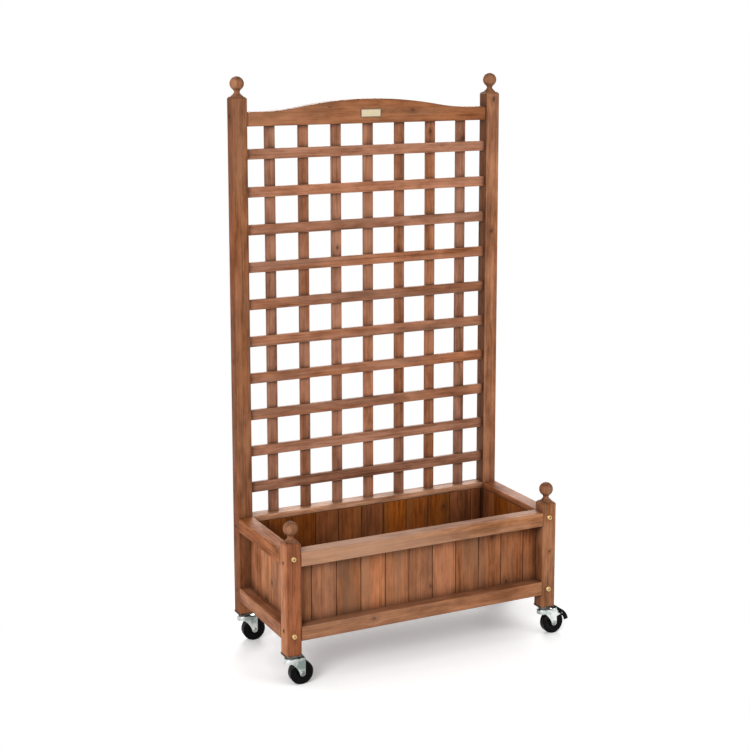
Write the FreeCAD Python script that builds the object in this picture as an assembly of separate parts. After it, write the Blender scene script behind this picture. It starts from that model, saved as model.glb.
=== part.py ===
"""Wooden floor planter with a trellis, on four swivel casters.

Two tall posts and two short posts carry a boarded box.  A lattice and an arched
rail stand between the tall posts.  Sizes are in millimetres, +Z is up, the box's
front faces -Y, and z = 0 is the floor.
"""
import FreeCAD, Part
import math
import os
from FreeCAD import Vector

# ---------------------------------------------------------------- driving dimensions
# Frame
planter_width = 637.0        # over the outer faces of the posts, along X
planter_depth = 294.0        # over the outer faces of the posts, along Y
post_side = 33.0             # square post
post_round = 3.0             # rounding of the posts' long edges
post_top_chamfer = 2.0
front_post_length = 231.0
rear_post_length = 1108.5
rail_height = 30.0
rail_depth = 33.0            # the rails lie flush with the posts' outer faces
rail_round = 2.0
arch_bevel = 1.5
bottom_rail_lift = 28.5      # post foot to the underside of the bottom rails
box_height = 186.5           # underside of the bottom rails to the top of the top rails
# Boards of the box
board_recess = 27.0          # outer face of a rail to the outer face of the boards
board_thickness = 10.0
board_width = 56.0
board_lap = 18.0             # how far a board laps each rail, in the rail's rebate
board_chamfer = 1.2
board_gap = 0.6
least_end_board = 16.0
corner_relief = 10.0         # the boards' proud inner face stops this far from the posts
# Floor of the box
cleat_side = 18.0
cleat_rise = 1.5             # lower end of the boards to the underside of the cleats
floor_slat_width = 54.0
floor_slat_thickness = 9.0
floor_slat_count = 9
floor_play = 1.0
# Trellis
arch_drop = 56.5             # top of the tall posts to the underside of the arched rail
arch_thickness = 25.0
arch_shoulder = 30.0         # height of the arched rail at its ends
arch_rise = 22.5             # crest above the shoulders
arch_flat = 35.5             # level stretch at each end of the arched rail
crest_radius = 915.0
slat_width = 22.0
slat_thickness = 7.5
slat_tenon = 8.0
cross_count = 10             # level slats
cross_top_gap = 47.0
cross_bottom_gap = 51.0
upright_count = 7
upright_side_gap = 45.0
# Turned finials
ball_diameter = 30.0
finial_height = 47.5
finial_disc_diameter = 30.6
finial_disc_height = 3.4
finial_disc_bevel = 0.8
finial_groove_depth = 1.6    # between the disc and the flare
finial_flare_diameter = 29.2
finial_flare_height = 7.5
finial_waist = (0.32, 0.38)  # where the flare turns steeper: shares of its width and of its height
finial_neck_diameter = 16.4
finial_neck_height = 16.0
spigot_diameter = 10.0
spigot_length = 15.0
# Name plate, bare
plate_width = 48.0
plate_height = 18.0
plate_thickness = 1.2
plate_corner = 2.0
plate_above_arch_underside = 13.0
# Hexagon-socket connector screws through the posts into the side rails
connector_diameter = 6.0
connector_head_diameter = 12.0
connector_head_height = 2.6
connector_head_taper = 1.6   # the head's top is this much smaller in radius
connector_reach = 35.0       # length inside a rail
hex_key = 4.0
hex_depth = 1.6
connector_off_centre = 3.0   # they lie this far from a rail's centre, away from the box's middle
# Countersunk screws through the posts into the front, rear and arched rails
screw_off_centre = 6.5       # this far from a rail's centre, towards the box's middle
screw_diameter = 4.4
screw_head_diameter = 7.6
screw_head_height = 2.6
screw_sink = 1.0             # head below the post's face
screw_reach = 32.0           # length inside a rail
arch_screw_height = 21.0     # above the arched rail's underside
# Casters
wheel_diameter = 50.0
wheel_width = 18.0
wheel_edge_bevel = 2.0
wheel_rim_diameter = 38.0    # inside it the wheel's sides are dished
wheel_dish_depth = 2.4
wheel_hub_diameter = 15.0
hub_stand = 1.2              # hub beyond the wheel's sides
fork_side_gap = 0.3          # hub to fork leg
fork_sheet = 2.2
fork_head_gap = 5.6          # wheel to the fork's crown
fork_corner = 1.8            # bevel along the bends of the crown
fork_crown_radius = 14.5
fork_nose_centre = -4.0      # centre of the round nose, from the swivel axis
fork_nose_drop = 7.5         # how far the nose hangs below the crown
fork_front_sag = 3.0         # how far a leg's front edge bows out from a straight line
fork_back = 26.0             # aft reach of a leg's top, from the swivel axis
fork_eye_radius = 6.0
caster_lead = 19.5           # swivel axis to the wheel's axle
race_ring_radius = 12.0
race_ring_height = 1.0
race_gap = 0.3
race_cup_radius = 14.0
race_cup_low_radius = 13.0
race_cup_height = 5.4
top_plate_side = 36.0
top_plate_thickness = 2.5
top_plate_corner = 5.0
king_pin_diameter = 8.0
king_head_diameter = 13.0
king_head_height = 1.9
king_head_gap = 0.3
axle_diameter = 6.0
axle_head_diameter = 9.6
axle_head_height = 1.5
plate_screw_pitch = 24.0
plate_screw_diameter = 4.0
plate_screw_head = 5.5       # across the flats
plate_screw_head_height = 2.0
plate_screw_length = 16.0
# Brake pedals on the casters at the right
pedal_pivot_radius = 27.8    # from the axle
pedal_pivot_angle = 50.0     # above the level, behind the axle
pedal_pin_diameter = 3.0
pedal_ear_radius = 2.8
pedal_root_radius = 9.0      # where the ear grows out of the fork leg
pedal_inner_radius = 31.5
pedal_sheet = 2.7
pedal_cheek_depth = 7.0      # how far the cheeks reach in from the pedal's inner radius
pedal_cheek = 2.0
pedal_cheek_gap = 0.3
pedal_low_angle = 10.0
pedal_high_angle = 67.0
shoe_angles = (20.0, 32.0)
shoe_radius = 27.2
shoe_width = 15.0
# Turn of each caster about its swivel axis; at 0 the wheel trails towards +X
caster_turns = {
    "front_left": -2.0,
    "front_right": 0.0,
    "rear_left": -3.0,
    "rear_right": -4.0,
}
braked_casters = ("front_right", "rear_right")
# Clearances
glue_gap = 0.05              # round a spigot or in a mortise
hole_gap = 0.05              # round a screw or rivet
hole_end_gap = 1.0           # beyond the end of a spigot or caster screw
running_gap = 0.05           # radial, in a turning fit
tool_overrun = 1.0           # how far a cutting solid passes the face that it opens

# ---------------------------------------------------------------- places worked out from them
half_w = planter_width / 2
half_d = planter_depth / 2
inner_half_w = half_w - post_side
inner_half_d = half_d - post_side
post_x = half_w - post_side / 2
post_y = half_d - post_side / 2
wheel_radius = wheel_diameter / 2
hub_half = wheel_width / 2 + hub_stand
leg_inner = hub_half + fork_side_gap
leg_outer = leg_inner + fork_sheet
crown_low = wheel_diameter + fork_head_gap
crown_top = crown_low + fork_sheet
cup_low = crown_top + race_ring_height + race_gap
plate_low = cup_low + race_cup_height
post_foot = plate_low + top_plate_thickness
rail_low = post_foot + bottom_rail_lift
box_top = rail_low + box_height
front_post_top = post_foot + front_post_length
rear_post_top = post_foot + rear_post_length
arch_low = rear_post_top - arch_drop
rail_levels = {"bottom": rail_low, "top": box_top - rail_height}
board_low = rail_low + rail_height - board_lap
board_high = box_top - rail_height + board_lap
cleat_low = board_low + cleat_rise
floor_low = cleat_low + cleat_side
pedal_outer_radius = pedal_inner_radius + pedal_sheet
# The origin lies under the middle of the whole footprint, casters included.
reach_left = post_x + top_plate_side / 2
reach_right = post_x + caster_lead + pedal_outer_radius * math.cos(math.radians(pedal_low_angle))
to_origin = Vector((reach_left - reach_right) / 2, 0, 0)
corners = {
    "front_left": (-1, -1),
    "front_right": (1, -1),
    "rear_left": (-1, 1),
    "rear_right": (1, 1),
}
X, Y, Z = Vector(1, 0, 0), Vector(0, 1, 0), Vector(0, 0, 1)


# ---------------------------------------------------------------- helpers
def block(x, y, z):
    """Box between pairs of limits, given in either order."""
    low = Vector(min(x), min(y), min(z))
    return Part.makeBox(abs(x[1] - x[0]), abs(y[1] - y[0]), abs(z[1] - z[0]), low)


def rod(radius, start, direction, length):
    return Part.makeCylinder(radius, length, start, direction)


def edges_along(shape, direction):
    """Straight edges of a shape that run along one direction."""
    found = []
    for edge in shape.Edges:
        run = edge.valueAt(edge.LastParameter) - edge.valueAt(edge.FirstParameter)
        if abs(run.normalize().dot(direction)) > 0.999:
            found.append(edge)
    return found


def edges_at_height(shape, z):
    return [e for e in shape.Edges if max(abs(e.BoundBox.ZMin - z), abs(e.BoundBox.ZMax - z)) < 0.01]


def revolve(points, arcs=None):
    """Turn a profile of (radius, height) points about Z.  arcs maps a point's number to the
    middle point of the arc that leads from it to the next one."""
    arcs = arcs or {}
    places = [Vector(r, 0, z) for r, z in points]
    sides = []
    for i, start in enumerate(places):
        end = places[(i + 1) % len(places)]
        if i in arcs:
            r, z = arcs[i]
            sides.append(Part.Arc(start, Vector(r, 0, z), end).toShape())
        else:
            sides.append(Part.makeLine(start, end))
    return Part.Face(Part.Wire(sides)).revolve(Vector(0, 0, 0), Z, 360)


def link(start, start_radius, end, end_radius, half_width):
    """Two discs on Y axes joined by their outer tangents; the first is the larger."""
    run = end - start
    bearing = math.atan2(run.z, run.x)
    spread = math.acos((start_radius - end_radius) / run.Length)

    def rim(centre, radius, turn):
        return centre + Vector(math.cos(bearing + turn), 0, math.sin(bearing + turn)) * radius

    ring = [rim(start, start_radius, spread), rim(end, end_radius, spread)]
    ring += [rim(end, end_radius, -spread), rim(start, start_radius, -spread)]
    web = Part.Face(Part.makePolygon(ring + ring[:1])).extrude(Y * 2 * half_width)
    web.translate(-Y * half_width)
    ends = ((start, start_radius), (end, end_radius))
    return web.fuse([rod(radius, centre - Y * half_width, Y, 2 * half_width) for centre, radius in ends])


def along(shape, start, direction):
    """Lay a shape modelled along +Z from the origin on a start point and direction."""
    laid = shape.copy()
    laid.Placement = FreeCAD.Placement(start, FreeCAD.Rotation(Z, direction))
    return laid


def cut(shape, tools):
    return shape.cut(Part.makeCompound(tools)) if tools else shape


def save(name, *solids):
    shape = solids[0] if len(solids) == 1 else Part.makeCompound(list(solids))
    shape = shape.copy()
    shape.translate(to_origin)
    shape.exportStep(os.path.join("parts", name + ".step"))


# ---------------------------------------------------------------- fasteners
def hex_prism(across_flats, height):
    corner = across_flats / math.sqrt(3)
    turns = [i * math.pi / 3 for i in range(7)]
    ring = [Vector(corner * math.cos(turn), corner * math.sin(turn), 0) for turn in turns]
    return Part.Face(Part.makePolygon(ring)).extrude(Z * height)


def connector_screw():
    """Screw with a hexagon socket: the head's underside is at z = 0, the shank runs up +Z."""
    head, shank = connector_head_diameter / 2, connector_diameter / 2
    length = post_side + connector_reach
    top = -connector_head_height
    taper = head - connector_head_taper
    body = revolve([(0, top), (taper, top), (head, 0), (shank, 0), (shank, length), (0, length)])
    socket = hex_prism(hex_key, hex_depth)
    socket.translate(Vector(0, 0, top))
    return body.cut(socket)


def screw_hole():
    """Countersunk hole along +Z from the post's face at z = 0."""
    head, shank = screw_head_diameter / 2 + hole_gap, screw_diameter / 2 + hole_gap
    cone = screw_sink + screw_head_height
    length = post_side + screw_reach + hole_gap
    return revolve([(0, 0), (head, 0), (head, screw_sink), (shank, cone), (shank, length), (0, length)])


def screw():
    """Countersunk wood screw along +Z, sunk below the post's face at z = 0."""
    head, shank = screw_head_diameter / 2, screw_diameter / 2
    cone = screw_sink + screw_head_height
    length = post_side + screw_reach
    return revolve([(0, screw_sink), (head, screw_sink), (shank, cone), (shank, length), (0, length)])


def plate_screw():
    """Hexagon-headed screw that holds a caster: the head's underside is at z = 0, the shank runs up +Z."""
    head = hex_prism(plate_screw_head, plate_screw_head_height)
    head.translate(Vector(0, 0, -plate_screw_head_height))
    return head.fuse(rod(plate_screw_diameter / 2, Vector(0, 0, 0), Z, plate_screw_length))


def connector_places():
    """(start on the post's outer face, direction) of each connector screw."""
    places = []
    for level, low in rail_levels.items():
        away = -1 if level == "bottom" else 1
        z = low + rail_height / 2 + away * connector_off_centre
        for side_x, side_y in corners.values():
            places.append((Vector(side_x * post_x, side_y * half_d, z), Vector(0, -side_y, 0)))
    return places


def screw_places():
    """(start on the post's outer face, direction) of each frame screw."""
    places = []
    for level, low in rail_levels.items():
        towards = 1 if level == "bottom" else -1
        z = low + rail_height / 2 + towards * screw_off_centre
        for side_x, side_y in corners.values():
            places.append((Vector(side_x * half_w, side_y * post_y, z), Vector(-side_x, 0, 0)))
    for side_x in (-1, 1):
        z = arch_low + arch_screw_height
        places.append((Vector(side_x * half_w, post_y, z), Vector(-side_x, 0, 0)))
    return places


def plate_screw_places():
    half = plate_screw_pitch / 2
    return [
        Vector(side_x * post_x + dx * half, side_y * post_y + dy * half, plate_low)
        for side_x, side_y in corners.values()
        for dx in (-1, 1)
        for dy in (-1, 1)
    ]


def fasteners():
    save("connector_screws", *[along(connector_screw(), *place) for place in connector_places()])
    save("frame_screws", *[along(screw(), *place) for place in screw_places()])
    save("caster_screws", *[along(plate_screw(), place, Z) for place in plate_screw_places()])


connector_holes = [
    rod(connector_diameter / 2 + hole_gap, start, direction, post_side + connector_reach + hole_gap)
    for start, direction in connector_places()
]
screw_holes = [along(screw_hole(), start, direction) for start, direction in screw_places()]
foot_holes = [
    rod(plate_screw_diameter / 2 + hole_gap, place, Z, plate_screw_length + hole_end_gap)
    for place in plate_screw_places()
]


# ---------------------------------------------------------------- posts and finials
def slat_levels():
    """Top height of each level slat, from the top down."""
    space = arch_low - box_top - cross_top_gap - cross_bottom_gap - slat_width
    pitch = space / (cross_count - 1)
    return [arch_low - cross_top_gap - i * pitch for i in range(cross_count)]


def level_slat(top, play=0.0):
    """Level slat with its housed ends, or its mortises when play is given."""
    reach = inner_half_w + slat_tenon + play
    y = (post_y - slat_thickness - play, post_y + play)
    return block((-reach, reach), y, (top - slat_width - play, top + play))


def finial():
    """Turned ball finial that stands on z = 0, with a spigot below."""
    ball, disc, flare, neck = (
        d / 2 for d in (ball_diameter, finial_disc_diameter, finial_flare_diameter, finial_neck_diameter)
    )
    spigot = spigot_diameter / 2
    ball_z = finial_height - ball
    join = ball_z - math.sqrt(ball**2 - neck**2)
    share_of_width, share_of_height = finial_waist
    waist = (
        neck + (flare - neck) * share_of_width,
        finial_flare_height + (finial_neck_height - finial_flare_height) * share_of_height,
    )
    points = [
        (0, -spigot_length),
        (spigot, -spigot_length),
        (spigot, 0),
        (disc, 0),
        (disc, finial_disc_height - finial_disc_bevel),
        (flare - finial_groove_depth, finial_disc_height + finial_disc_bevel),
        (flare, finial_flare_height),
        waist,
        (neck, finial_neck_height),
        (neck, join),
        (0, finial_height),
    ]
    return revolve(points, {9: (ball, ball_z)})


def post(side_x, side_y, top):
    x = (side_x * half_w, side_x * inner_half_w)
    y = (side_y * half_d, side_y * inner_half_d)
    body = block(x, y, (post_foot, top))
    body = body.makeFillet(post_round, edges_along(body, Z))
    body = body.makeChamfer(post_top_chamfer, edges_at_height(body, top))
    centre = Vector(side_x * post_x, side_y * post_y, top)
    near = body.BoundBox
    tools = [t for t in connector_holes + screw_holes + foot_holes if near.intersect(t.BoundBox)]
    socket = spigot_length + hole_end_gap
    tools.append(rod(spigot_diameter / 2 + glue_gap, centre - Z * socket, Z, socket))
    if side_y > 0:
        tools += [level_slat(z, glue_gap) for z in slat_levels()]
    return cut(body, tools)


def posts_and_finials():
    finials = []
    for corner, (side_x, side_y) in corners.items():
        top = front_post_top if side_y < 0 else rear_post_top
        save("post_" + corner, post(side_x, side_y, top))
        turned = finial()
        turned.translate(Vector(side_x * post_x, side_y * post_y, top))
        finials.append(turned)
    save("ball_finials", *finials)


# ---------------------------------------------------------------- box
def rail(level, side, runs_along_x):
    """Rail of the box, flush with the posts outside and rebated inside for the boards."""
    low = rail_levels[level]
    across = half_d if runs_along_x else half_w
    run = inner_half_w if runs_along_x else inner_half_d
    body = block((-run, run), (side * across, side * (across - rail_depth)), (low, low + rail_height))
    body = body.makeFillet(rail_round, edges_along(body, X))
    lap = (low, low + board_lap) if level == "top" else (low + rail_height - board_lap, low + rail_height)
    rebate = block((-run, run), (side * (across - board_recess), side * (across - rail_depth)), lap)
    body = body.cut(rebate)
    if runs_along_x:
        return body
    body.rotate(Vector(0, 0, 0), Z, -90)
    return body


def rails():
    for level in rail_levels:
        for name, side, runs_along_x in (
            ("front", -1, True),
            ("rear", 1, True),
            ("left", -1, False),
            ("right", 1, False),
        ):
            body = rail(level, side, runs_along_x)
            near = body.BoundBox
            tools = [t for t in connector_holes + screw_holes if near.intersect(t.BoundBox)]
            if name == "rear" and level == "top":
                tools.append(upright_mortises())
            save(f"{name}_{level}_rail", cut(body, tools))


def board_edges(run, equal):
    """Joint positions along a panel: equal boards, or full ones with the rest cut from the ends."""
    if equal:
        count = round(2 * run / board_width)
        return [-run + i * 2 * run / count for i in range(count + 1)]
    count = int((2 * run - 2 * least_end_board) // board_width)
    first = -count * board_width / 2
    return [-run] + [first + i * board_width for i in range(count + 1)] + [run]


def boards(side, across, run, equal):
    """Upright boards of one panel, laid along X; their proud inner face is relieved at the corners."""
    outer, inner = across - board_recess, across - board_recess - board_thickness
    edges = board_edges(run, equal)
    made = []
    for i in range(len(edges) - 1):
        left = edges[i] + (board_gap / 2 if i else 0)
        right = edges[i + 1] - (board_gap / 2 if i < len(edges) - 2 else 0)
        board = block((left, right), (side * outer, side * inner), (board_low, board_high))
        made.append(board.makeChamfer(board_chamfer, edges_along(board, Z)))
    frame_face = across - rail_depth
    for end, number in ((-1, 0), (1, -1)):
        x = (end * (run - corner_relief), end * (run + tool_overrun))
        z = (board_low - tool_overrun, board_high + tool_overrun)
        relief = block(x, (side * frame_face, side * (inner - tool_overrun)), z)
        made[number] = made[number].cut(relief)
    return made


def panels():
    save("front_boards", *boards(-1, half_d, inner_half_w, False))
    save("rear_boards", *boards(1, half_d, inner_half_w, False))
    for name, side in (("left", -1), ("right", 1)):
        group = boards(side, half_w, inner_half_d, True)
        for board in group:
            board.rotate(Vector(0, 0, 0), Z, -90)
        save(name + "_boards", *group)


def floor():
    """Two cleats along the long sides carry slats with drainage gaps."""
    y_out = half_d - board_recess - board_thickness
    x_out = half_w - board_recess - board_thickness - floor_play
    cleats = [
        block((-x_out, x_out), (side * y_out, side * (y_out - cleat_side)), (cleat_low, floor_low))
        for side in (-1, 1)
    ]
    save("floor_cleats", *cleats)
    gap = (2 * x_out - floor_slat_count * floor_slat_width) / (floor_slat_count - 1)
    y = y_out - floor_play
    slats = []
    for i in range(floor_slat_count):
        left = -x_out + i * (floor_slat_width + gap)
        x = (left, left + floor_slat_width)
        slats.append(block(x, (-y, y), (floor_low, floor_low + floor_slat_thickness)))
    save("floor_slats", *slats)


# ---------------------------------------------------------------- trellis
def arched_rail():
    """Rail with level shoulders and an ogee rise: a crest arc runs into a reverse arc at each side."""
    shoulder = arch_low + arch_shoulder
    crest = shoulder + arch_rise
    flat = inner_half_w - arch_flat
    # Where the two arcs meet they have the same slope, which fixes both turn points.
    slope = 2 * arch_rise / flat
    meet = crest_radius * slope
    reverse_radius = (flat - meet) / slope

    def height(x):
        x = abs(x)
        if x <= meet:
            return crest - x**2 / (2 * crest_radius)
        return shoulder + (flat - x) ** 2 / (2 * reverse_radius)

    def at(x, z):
        return Vector(x, 0, z)

    def arc(a, b):
        mid = (a + b) / 2
        return Part.Arc(at(a, height(a)), at(mid, height(mid)), at(b, height(b))).toShape()

    end = inner_half_w
    outline = [
        Part.makeLine(at(-end, arch_low), at(end, arch_low)),
        Part.makeLine(at(end, arch_low), at(end, shoulder)),
        Part.makeLine(at(end, shoulder), at(flat, shoulder)),
        arc(flat, meet),
        arc(meet, -meet),
        arc(-meet, -flat),
        Part.makeLine(at(-flat, shoulder), at(-end, shoulder)),
        Part.makeLine(at(-end, shoulder), at(-end, arch_low)),
    ]
    body = Part.Face(Part.Wire(outline)).extrude(Y * arch_thickness)
    body.translate(Y * (post_y - arch_thickness / 2))
    long_edges = [e for e in body.Edges if e.BoundBox.YLength < 0.01 and e.BoundBox.XLength > 1]
    body = body.makeChamfer(arch_bevel, long_edges)
    near = body.BoundBox
    tools = [t for t in screw_holes if near.intersect(t.BoundBox)]
    return cut(body, tools + [upright_mortises()])


def upright_slats(play=0.0):
    """Upright slats behind the level ones, housed in the arched rail and the rear top rail."""
    space = 2 * inner_half_w - 2 * upright_side_gap - slat_width
    pitch = space / (upright_count - 1)
    low, high = box_top - slat_tenon - play, arch_low + slat_tenon + play
    made = []
    for i in range(upright_count):
        middle = (i - (upright_count - 1) / 2) * pitch
        x = (middle - slat_width / 2 - play, middle + slat_width / 2 + play)
        y = (post_y - play, post_y + slat_thickness + play)
        made.append(block(x, y, (low, high)))
    return made


def upright_mortises():
    return Part.makeCompound(upright_slats(glue_gap))


def name_plate():
    low = arch_low + plate_above_arch_underside
    face = post_y - arch_thickness / 2
    x = (-plate_width / 2, plate_width / 2)
    plate = block(x, (face - plate_thickness, face), (low, low + plate_height))
    return plate.makeFillet(plate_corner, edges_along(plate, Y))


def trellis():
    save("arched_rail", arched_rail())
    save("name_plate", name_plate())
    for number, top in enumerate(slat_levels(), 1):
        save(f"level_slat_{number:02d}", level_slat(top))
    save("upright_slats", *upright_slats())


# ---------------------------------------------------------------- casters
# Each caster is modelled with its swivel axis on Z and its wheel trailing towards +X.
axle_point = Vector(caster_lead, 0, wheel_radius)


def polar(radius, angle):
    """Point at an angle above the level, round the axle."""
    turn = math.radians(angle)
    return axle_point + Vector(radius * math.cos(turn), 0, radius * math.sin(turn))


def top_plate():
    """Plate with the upper race and the riveted king pin."""
    half = top_plate_side / 2
    plate = block((-half, half), (-half, half), (plate_low, post_foot))
    plate = plate.makeFillet(top_plate_corner, edges_along(plate, Z))
    hole = plate_screw_diameter / 2 + hole_gap
    places = [Vector(dx, dy, 0) * (plate_screw_pitch / 2) + Z * plate_low for dx in (-1, 1) for dy in (-1, 1)]
    plate = cut(plate, [rod(hole, place, Z, top_plate_thickness) for place in places])
    head_top = crown_low - king_head_gap
    cup = Part.makeCone(race_cup_low_radius, race_cup_radius, race_cup_height, Vector(0, 0, cup_low))
    pin = rod(king_pin_diameter / 2, Vector(0, 0, head_top), Z, cup_low - head_top)
    head = rod(king_head_diameter / 2, Vector(0, 0, head_top - king_head_height), Z, king_head_height)
    return plate.fuse([cup, pin, head]).removeSplitter()


def fork_side(braked):
    """Outline of the fork seen from the side, as a solid wider than the fork."""
    half = leg_outer + tool_overrun
    eye = rod(fork_eye_radius, axle_point - Y * half, Y, 2 * half)
    # The front edge bows down from the nose to a point on the eye's rim.
    nose_low = crown_low - fork_nose_drop
    nose_end = Vector(fork_nose_centre, 0, nose_low)
    to_eye = nose_end - axle_point
    lean = math.atan2(to_eye.z, to_eye.x) + math.acos(fork_eye_radius / to_eye.Length)
    touch = axle_point + Vector(math.cos(lean), 0, math.sin(lean)) * fork_eye_radius
    run = touch - nose_end
    bow = Vector(-run.z, 0, run.x).normalize() * fork_front_sag
    back = Vector(caster_lead + fork_eye_radius, 0, wheel_radius)
    nose_tip = fork_nose_centre - leg_outer - tool_overrun
    outline = [
        nose_end,
        Vector(nose_tip, 0, nose_low),
        Vector(nose_tip, 0, crown_top),
        Vector(fork_back, 0, crown_top),
        back,
        axle_point,
        touch,
    ]
    sides = [Part.makeLine(start, end) for start, end in zip(outline, outline[1:])]
    sides.append(Part.Arc(touch, (touch + nose_end) / 2 + bow, nose_end).toShape())
    leg = Part.Face(Part.Wire(sides)).extrude(Y * 2 * half)
    leg.translate(-Y * half)
    side = leg.fuse(eye)
    if braked:
        pivot = polar(pedal_pivot_radius, pedal_pivot_angle)
        root = Vector(fork_back - pedal_root_radius, 0, crown_low - pedal_root_radius)
        side = side.fuse(link(root, pedal_root_radius, pivot, pedal_ear_radius, half))
    return side


def fork_plan(half_width, end, low, high):
    """Straight sides with a half-round nose, seen from above."""
    nose = rod(half_width, Vector(fork_nose_centre, 0, low), Z, high - low)
    return nose.fuse(block((fork_nose_centre, end), (-half_width, half_width), (low, high))).removeSplitter()


def fork(braked):
    """Pressed fork: a round-nosed channel cut to its side outline, with a round crown for the race."""
    low = wheel_radius - fork_eye_radius
    end = caster_lead + pedal_inner_radius
    outer = fork_plan(leg_outer, end, low, crown_top)
    bends = [edge for edge in edges_at_height(outer, crown_top) if edge.BoundBox.XLength > 1]
    outer = outer.makeChamfer(fork_corner, bends)
    inner = fork_plan(leg_inner, end + tool_overrun, low - tool_overrun, crown_low)
    channel = outer.cut(inner).common(fork_side(braked))
    if braked:
        # The crown stops short so that the pedal can reach over the wheel.
        gap = block((fork_crown_radius, end), (-leg_inner, leg_inner), (crown_low, crown_top))
        channel = channel.cut(gap)
    crown = rod(fork_crown_radius, Vector(0, 0, crown_low), Z, fork_sheet)
    ring = rod(race_ring_radius, Vector(0, 0, crown_top), Z, race_ring_height)
    body = channel.fuse([crown, ring])
    half = leg_outer + tool_overrun
    tools = [
        rod(king_pin_diameter / 2 + running_gap, Vector(0, 0, crown_low), Z, cup_low - crown_low),
        rod(axle_diameter / 2 + hole_gap, axle_point - Y * half, Y, 2 * half),
    ]
    if braked:
        pivot = polar(pedal_pivot_radius, pedal_pivot_angle)
        tools.append(rod(pedal_pin_diameter / 2 + hole_gap, pivot - Y * half, Y, 2 * half))
    return cut(body, tools).removeSplitter()


def wheel():
    """Moulded wheel with dished sides and a hub that stands out."""
    r, half, bevel = wheel_radius, wheel_width / 2, wheel_edge_bevel
    bore = axle_diameter / 2 + running_gap
    rim, hub = wheel_rim_diameter / 2, wheel_hub_diameter / 2
    upper = [
        (r, half - bevel),
        (r - bevel, half),
        (rim, half),
        (hub + wheel_dish_depth, half - wheel_dish_depth),
        (hub, hub_half),
        (bore, hub_half),
    ]
    lower = [(radius, -height) for radius, height in reversed(upper)]
    return along(revolve(upper + lower), axle_point, Y)


def axle():
    """Rivet through both legs of the fork."""
    head, shank, end = axle_head_diameter / 2, axle_diameter / 2, leg_outer + axle_head_height
    upper = [(shank, leg_outer), (head, leg_outer), (head - axle_head_height, end), (0, end)]
    lower = [(radius, -height) for radius, height in reversed(upper)]
    return along(revolve(upper + lower), axle_point, Y)


def sector(inner, outer, low_angle, high_angle, half_width):
    """Part of a ring round the axle, between two angles."""
    middle = (low_angle + high_angle) / 2
    wire = Part.Wire([
        Part.Arc(polar(outer, low_angle), polar(outer, middle), polar(outer, high_angle)).toShape(),
        Part.makeLine(polar(outer, high_angle), polar(inner, high_angle)),
        Part.Arc(polar(inner, high_angle), polar(inner, middle), polar(inner, low_angle)).toShape(),
        Part.makeLine(polar(inner, low_angle), polar(outer, low_angle)),
    ])
    body = Part.Face(wire).extrude(Y * half_width * 2)
    body.translate(-Y * half_width)
    return body


def brake_pedal():
    """Moulded pedal: a curved tread over the wheel, a cheek outside each fork leg and a brake shoe inside."""
    cheek_inner = leg_outer + pedal_cheek_gap
    cheek_outer = cheek_inner + pedal_cheek
    tread = sector(pedal_inner_radius, pedal_outer_radius, pedal_low_angle, pedal_high_angle, cheek_outer)
    cheek_low = pedal_inner_radius - pedal_cheek_depth
    cheeks = sector(cheek_low, pedal_outer_radius, pedal_low_angle, pedal_high_angle, cheek_outer)
    between = (cheek_low - tool_overrun, pedal_outer_radius + tool_overrun)
    cheeks = cheeks.cut(sector(*between, 0, 90, cheek_inner))
    shoe = sector(shoe_radius, pedal_outer_radius, *shoe_angles, shoe_width / 2)
    body = tread.fuse([cheeks, shoe]).removeSplitter()
    pivot = polar(pedal_pivot_radius, pedal_pivot_angle)
    half = cheek_outer + tool_overrun
    return body.cut(rod(pedal_pin_diameter / 2 + running_gap, pivot - Y * half, Y, 2 * half))


def pedal_pin():
    pivot = polar(pedal_pivot_radius, pedal_pivot_angle)
    half = leg_outer + pedal_cheek_gap + pedal_cheek
    return rod(pedal_pin_diameter / 2, pivot - Y * half, Y, 2 * half)


def casters():
    for corner, (side_x, side_y) in corners.items():
        braked = corner in braked_casters
        fixed = {"plate": [top_plate()]}
        turning = {"fork": [fork(braked)], "axle": [axle()], "wheel": [wheel()]}
        if braked:
            turning["axle"].append(pedal_pin())
            turning["brake_pedal"] = [brake_pedal()]
        for piece, solids in {**fixed, **turning}.items():
            for solid in solids:
                if piece in turning:
                    solid.rotate(Vector(0, 0, 0), Z, caster_turns[corner])
                solid.translate(Vector(side_x * post_x, side_y * post_y, 0))
            save(f"caster_{corner}_{piece}", *solids)


# ---------------------------------------------------------------- build
os.makedirs("parts", exist_ok=True)
posts_and_finials()
rails()
panels()
floor()
trellis()
casters()
fasteners()
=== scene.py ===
import math

import bmesh
import bpy
from mathutils import Matrix, Vector


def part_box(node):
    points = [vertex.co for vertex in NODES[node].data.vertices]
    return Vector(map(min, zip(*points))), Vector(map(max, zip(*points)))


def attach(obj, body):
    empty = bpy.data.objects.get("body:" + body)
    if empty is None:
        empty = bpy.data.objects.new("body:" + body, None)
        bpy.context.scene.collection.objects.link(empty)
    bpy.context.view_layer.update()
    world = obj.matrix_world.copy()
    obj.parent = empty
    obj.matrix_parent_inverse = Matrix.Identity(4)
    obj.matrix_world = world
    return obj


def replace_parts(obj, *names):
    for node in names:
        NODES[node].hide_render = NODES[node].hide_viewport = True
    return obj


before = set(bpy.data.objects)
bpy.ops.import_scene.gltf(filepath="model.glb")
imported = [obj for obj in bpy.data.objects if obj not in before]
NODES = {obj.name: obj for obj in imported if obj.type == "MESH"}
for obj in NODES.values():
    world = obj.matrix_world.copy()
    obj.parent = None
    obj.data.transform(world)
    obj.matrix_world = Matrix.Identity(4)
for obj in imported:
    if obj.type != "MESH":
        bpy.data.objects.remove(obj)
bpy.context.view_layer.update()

# ---------------------------------------------------------------- places shared with the CAD model, in metres
MIDDLE_X = (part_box("front_top_rail")[0].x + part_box("front_top_rail")[1].x) / 2
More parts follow.
